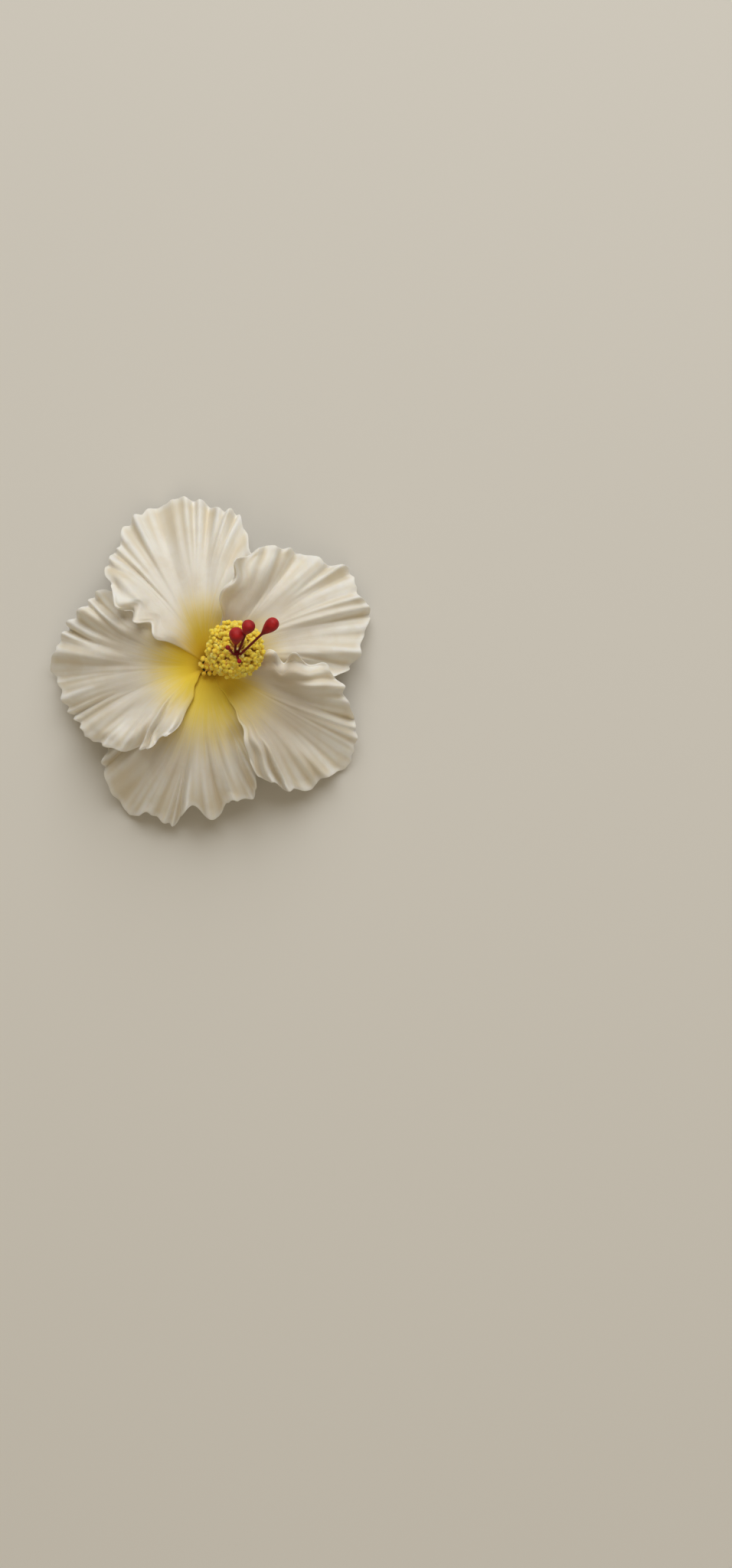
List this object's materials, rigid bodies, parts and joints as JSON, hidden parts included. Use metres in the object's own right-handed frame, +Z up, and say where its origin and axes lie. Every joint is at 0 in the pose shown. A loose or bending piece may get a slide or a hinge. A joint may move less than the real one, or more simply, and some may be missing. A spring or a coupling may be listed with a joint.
{
  "type": "hibiscus flower",
  "caption": "Hibiscus bloom lying face up: ruffled cream petals with a yellow throat, a stamen column with yellow anthers, red stigmas, green calyx and short stalk.",
  "frame": {"origin": "on the surface that the bloom lies on, under the middle of its outline", "axes": "+Z up, out of the bloom's face; +Y towards the top petal's side and +X towards the side that the stamen column leans to"},
  "size_m": [0.1133, 0.1159, 0.0531],
  "materials": {
    "petal": "matt cream-white petal tissue, yellow at the throat, with fine pleats and veins",
    "stamen": "matt yellow pollen-covered anthers on thin filaments",
    "column": "satin pale yellow plant tissue",
    "stigma": "velvety deep red",
    "ovary": "satin pale green plant tissue",
    "calyx": "matt green leaf tissue with fine ribs",
    "bractlet": "matt green leaf tissue",
    "stalk": "satin green stalk with a paler cut end"
  },
  "bodies": {
    "root": {"petal_top": "petal", "petal_upper_right": "petal", "petal_lower_right": "petal", "petal_bottom": "petal", "petal_left": "petal", "staminal_column": "column", "style": "column", "stamen_01": "stamen", "stamen_02": "stamen", "stamen_03": "stamen", "stamen_04": "stamen", "stamen_05": "stamen", "stamen_06": "stamen", "stamen_07": "stamen", "stamen_08": "stamen", "stamen_09": "stamen", "stamen_10": "stamen", "stamen_11": "stamen", "stamen_12": "stamen", "stamen_13": "stamen", "stamen_14": "stamen", "stamen_15": "stamen", "stamen_16": "stamen", "stamen_17": "stamen", "stamen_18": "stamen", "stamen_19": "stamen", "stamen_20": "stamen", "stamen_21": "stamen", "stamen_22": "stamen", "stamen_23": "stamen", "stamen_24": "stamen", "stamen_25": "stamen", "stamen_26": "stamen", "stamen_27": "stamen", "stamen_28": "stamen", "stamen_29": "stamen", "stamen_30": "stamen", "stamen_31": "stamen", "stamen_32": "stamen", "stamen_33": "stamen", "stamen_34": "stamen", "stamen_35": "stamen", "stamen_36": "stamen", "style_branch_right": "stigma", "style_branch_middle": "stigma", "style_branch_left": "stigma", "style_branch_short_left": "stigma", "style_branch_short_lower": "stigma", "ovary": "ovary", "calyx": "calyx", "bractlet_1": "bractlet", "bractlet_2": "bractlet", "bractlet_3": "bractlet", "bractlet_4": "bractlet", "bractlet_5": "bractlet", "bractlet_6": "bractlet", "bractlet_7": "bractlet", "pedicel": "stalk"}
  },
  "joints": []
}
